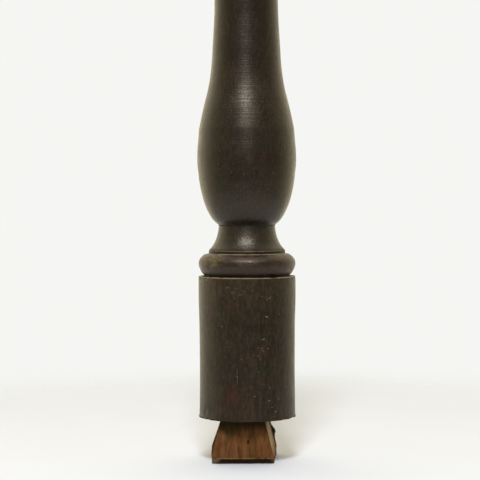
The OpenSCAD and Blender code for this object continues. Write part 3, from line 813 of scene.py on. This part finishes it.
# ---------------------------------------------------------------- the cut brad, broken off in its hole
def brad():
    blo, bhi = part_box("tread_brad")
    w, t = (bhi.x - blo.x) / 2, (bhi.z - blo.z) / 2
    cx, cz = (bhi.x + blo.x) / 2, (bhi.z + blo.z) / 2
    ys = np.concatenate([[blo.y], np.linspace(blo.y + .00015, bhi.y - .0002, 26), [bhi.y]])
    shape = [(-1, -.8), (-.8, -1), (0, -1), (.8, -1), (1, -.8), (1, 0), (1, .8), (.8, 1), (0, 1), (-.8, 1), (-1, .8), (-1, 0)]
    vs, fs = [], []
    for k, y in enumerate(ys):
        run = (y - blo.y) / (bhi.y - blo.y)
        s = (1 - .35 * run) * (.62 if k == 0 else .98) * (.35 if k == len(ys) - 1 else 1)
        pts = np.array([(cx + a * w * s, y, cz + b * t * s) for a, b in shape])
        rust = vnoise(pts / .0005 + 7, 51)
        pts[:, 0] = cx + (pts[:, 0] - cx) * (1 - .12 * rust)
        pts[:, 2] = cz + (pts[:, 2] - cz) * (1 - .12 * rust)
        if k < 2:
            pts[:, 1] += .00012 * vnoise(pts / .0003, 52)
        vs += [tuple(p) for p in pts]
    m = len(shape)
    for k in range(len(ys) - 1):
        fs += [(k * m + j, k * m + (j + 1) % m, (k + 1) * m + (j + 1) % m, (k + 1) * m + j) for j in range(m)]
    fs.append(tuple(reversed(range(m))))
    fs.append(tuple((len(ys) - 1) * m + j for j in range(m)))
    me = bpy.data.meshes.new("tread_brad_iron")
    me.from_pydata(vs, [], fs)
    me.update()
    bm_fix(me)
    ob = bpy.data.objects.new("tread_brad_stub", me)
    bpy.context.scene.collection.objects.link(ob)
    g = Nodes("rusted_iron")
    n = g.noise(g.scaled(3., 3., 3.), 1., 4., .65)
    col = g.ramp(n, [(.3, (.010, .0065, .005)), (.55, (.030, .013, .007)), (.75, (.075, .030, .012))])
    g._put(g.bsdf.inputs["Base Color"], col)
    g._put(g.bsdf.inputs["Roughness"], g.range(n, .3, .8, .55, .9))
    g.bsdf.inputs["Metallic"].default_value = .25
    g._put(g.bsdf.inputs["Normal"], g.bump(n, .00006, .9))
    me.materials.append(g.mat)
    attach(ob, "root")
    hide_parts("tread_brad")
    return ob


def bm_fix(me):
    """Makes a small mesh's faces point outwards."""
    import bmesh
    bm = bmesh.new()
    bm.from_mesh(me)
    bmesh.ops.recalc_face_normals(bm, faces=bm.faces)
    bm.to_mesh(me)
    bm.free()


brad()


# ---------------------------------------------------------------- a dark splinter left on the right cheek
def splinter():
    """A torn sliver of dark wood, wedged against the right cheek below the shoulder."""
    path = [(10.1, 12.0, -4.6, .12, .25), (10.6, 12.1, -5.4, .36, .6), (11.2, 12.1, -6.4, .58, .9), (11.8, 12.2, -7.5, .78, 1.2),
            (12.3, 12.2, -8.5, .86, 1.3), (12.6, 12.3, -9.4, .66, 1.1), (12.5, 12.4, -10.4, .44, .8), (12.7, 12.5, -11.6, .26, .6),
            (13.0, 12.6, -12.8, .08, .2)]
    n = 14
    dense = []
    for (a, b) in zip(path, path[1:]):
        for k in range(4):
            dense.append(tuple(np.array(a) + (np.array(b) - np.array(a)) * k / 4))
    dense.append(path[-1])
    vs, fs = [], []
    for i, (x, y, z, hw, hd) in enumerate(dense):
        for j in range(n):
            a = 2 * math.pi * j / n
            q = np.array([[x * 1.7 + math.cos(a) * 2, y + math.sin(a) * 3, z * .5]])
            k = 1 + .5 * (vnoise(q, 61)[0] - .5)
            vs.append(((x + hw * math.cos(a) * k) * MM, (y + hd * math.sin(a) * k) * MM, z * MM))
    for i in range(len(dense) - 1):
        fs += [(i * n + j, i * n + (j + 1) % n, (i + 1) * n + (j + 1) % n, (i + 1) * n + j) for j in range(n)]
    fs.append(tuple(reversed(range(n))))
    fs.append(tuple((len(dense) - 1) * n + j for j in range(n)))
    me = bpy.data.meshes.new("splinter_mesh")
    me.from_pydata(vs, [], fs)
    me.update()
    bm_fix(me)
    me.polygons.foreach_set("use_smooth", [True] * len(me.polygons))
    ob = bpy.data.objects.new("cheek_splinter", me)
    bpy.context.scene.collection.objects.link(ob)
    g = Nodes("splinter_wood")
    f = g.noise(g.scaled(4., 4., .35), 1., 3., .6)
    g._put(g.bsdf.inputs["Base Color"], g.ramp(f, [(.35, (.006, .0045, .0035)), (.6, (.018, .012, .008)), (.8, (.050, .034, .020))]))
    g._put(g.bsdf.inputs["Roughness"], g.range(f, .2, .8, .5, .8))
    g._put(g.bsdf.inputs["Normal"], g.bump(f, .0002, 1.))
    me.materials.append(g.mat)
    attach(ob, "root")
    return ob


splinter()


# ---------------------------------------------------------------- floor, light and camera
def floor():
    me = bpy.data.meshes.new("floor_mesh")
    n, rad = 96, .9
    z = low.z - .0002
    vs = [(0., 0., z)] + [(rad * math.cos(2 * math.pi * k / n), rad * math.sin(2 * math.pi * k / n), z) for k in range(n)]
    me.from_pydata(vs, [], [(0, 1 + k, 1 + (k + 1) % n) for k in range(n)])
    ob = bpy.data.objects.new("pale_floor", me)
    bpy.context.scene.collection.objects.link(ob)
    g = Nodes("pale_floor")
    g._put(g.bsdf.inputs["Base Color"], g.mix(g.noise(g.scaled(.02, .02, .02), 1., 3.), (.578, .613, .686), (.600, .635, .708)))
    speckle = g.noise(g.scaled(.35, .35, .35), 1., 3., .6)
    g._put(g.bsdf.inputs["Roughness"], g.range(speckle, .2, .8, .72, .9))
    g._put(g.bsdf.inputs["Normal"], g.bump(speckle, .00004, .5))
    g.bsdf.inputs["Specular IOR Level"].default_value = .2
    # the floor fades out into the pale surroundings
    d = g.vmath("LENGTH", g.combine(g.x, g.y, 0.))
    fade = g.t.nodes.new("ShaderNodeMixShader")
    clear = g.t.nodes.new("ShaderNodeBsdfTransparent")
    g._put(fade.inputs[0], g.range(d, 170., 420.))
    g.t.links.new(g.bsdf.outputs[0], fade.inputs[1])
    g.t.links.new(clear.outputs[0], fade.inputs[2])
    g.t.links.new(fade.outputs[0], g.out.inputs["Surface"])
    me.materials.append(g.mat)


def lamp(name, loc, target, size, size_y, power, colour=(1, 1, 1)):
    data = bpy.data.lights.new(name, "AREA")
    data.shape, data.size, data.size_y, data.energy, data.color = "RECTANGLE", size, size_y, power, colour
    ob = bpy.data.objects.new(name, data)
    bpy.context.scene.collection.objects.link(ob)
    from mathutils import Vector
    ob.location = loc
    ob.rotation_euler = (Vector(target) - Vector(loc)).to_track_quat("-Z", "Y").to_euler()
    return ob


def world():
    w = bpy.data.worlds.new("studio")
    bpy.context.scene.world = w
    w.use_nodes = True
    t = w.node_tree
    t.nodes.clear()
    new, link = t.nodes.new, t.links.new
    out, mix, seen, unseen, lp = (new("ShaderNodeOutputWorld"), new("ShaderNodeMixShader"), new("ShaderNodeBackground"),
                                  new("ShaderNodeBackground"), new("ShaderNodeLightPath"))
    tc, sep, rng, ramp = new("ShaderNodeTexCoord"), new("ShaderNodeSeparateXYZ"), new("ShaderNodeMapRange"), new("ShaderNodeValToRGB")
    link(tc.outputs["Generated"], sep.inputs[0])
    link(sep.outputs[1], rng.inputs[0])
    rng.inputs[1].default_value, rng.inputs[2].default_value = -1., 1.
    link(rng.outputs[0], ramp.inputs[0])
    stops = ramp.color_ramp.elements
    stops[0].position, stops[0].color = .08, (.170, .164, .152, 1)
    stops[1].position, stops[1].color = .84, (1.34, 1.20, .88, 1)
    for pos, c in ((.36, .27), (.50, .43), (.66, .76)):
        e = stops.new(pos)
        e.position, e.color = pos, (c * 1.16, c * 1.04, c * .77, 1)
    # a brighter ceiling, and a little more light from the left
    up, side, both = new("ShaderNodeMapRange"), new("ShaderNodeMapRange"), new("ShaderNodeMath")
    link(sep.outputs[2], up.inputs[0])
    up.inputs[1].default_value, up.inputs[2].default_value = .15, .95
    up.inputs[3].default_value, up.inputs[4].default_value = 1.0, 1.35
    link(sep.outputs[0], side.inputs[0])
    side.inputs[1].default_value, side.inputs[2].default_value = -1., 1.
    side.inputs[3].default_value, side.inputs[4].default_value = 1.30, .98
    both.operation = "MULTIPLY"
    link(up.outputs[0], both.inputs[0])
    link(side.outputs[0], both.inputs[1])
    link(ramp.outputs[0], unseen.inputs[0])
    link(both.outputs[0], unseen.inputs[1])
    seen.inputs[0].default_value = (.915, .918, .895, 1)
    seen.inputs[1].default_value = 1.0
    link(lp.outputs["Is Camera Ray"], mix.inputs[0])
    link(unseen.outputs[0], mix.inputs[1])
    link(seen.outputs[0], mix.inputs[2])
    link(mix.outputs[0], out.inputs[0])


floor()
world()
lamp("key", (-.05, -.90, 1.14), (0, 0, .10), .28, .34, 18.5, (.985, .985, 1.))
lamp("fill_high", (-.05, -1.12, .68), (0, 0, .12), .20, .30, 1.35, (.985, .985, 1.))
lamp("fill_low", (-.05, -1.25, .36), (0, 0, .12), .18, .28, .10, (.985, .985, 1.))

cam_data = bpy.data.cameras.new("camera")
cam_data.sensor_width = 36
cam_data.lens = 36 * 1641 / 480
cam_data.clip_start, cam_data.clip_end = .01, 50
cam = bpy.data.objects.new("camera", cam_data)
bpy.context.scene.collection.objects.link(cam)
cam.location = (-.0032, -.758, .1048)
cam.rotation_mode = "QUATERNION"
from mathutils import Euler, Matrix
pitch = math.atan(50 / 1630)
cam.rotation_quaternion = (Euler((math.pi / 2 - pitch, 0, 0)).to_matrix() @ Matrix.Rotation(math.radians(-.18), 3, "Z")).to_quaternion()
bpy.context.scene.camera = cam
bpy.context.scene.view_settings.view_transform = "Standard"
bpy.context.scene.view_settings.look = "None"

bpy.context.view_layer.update()
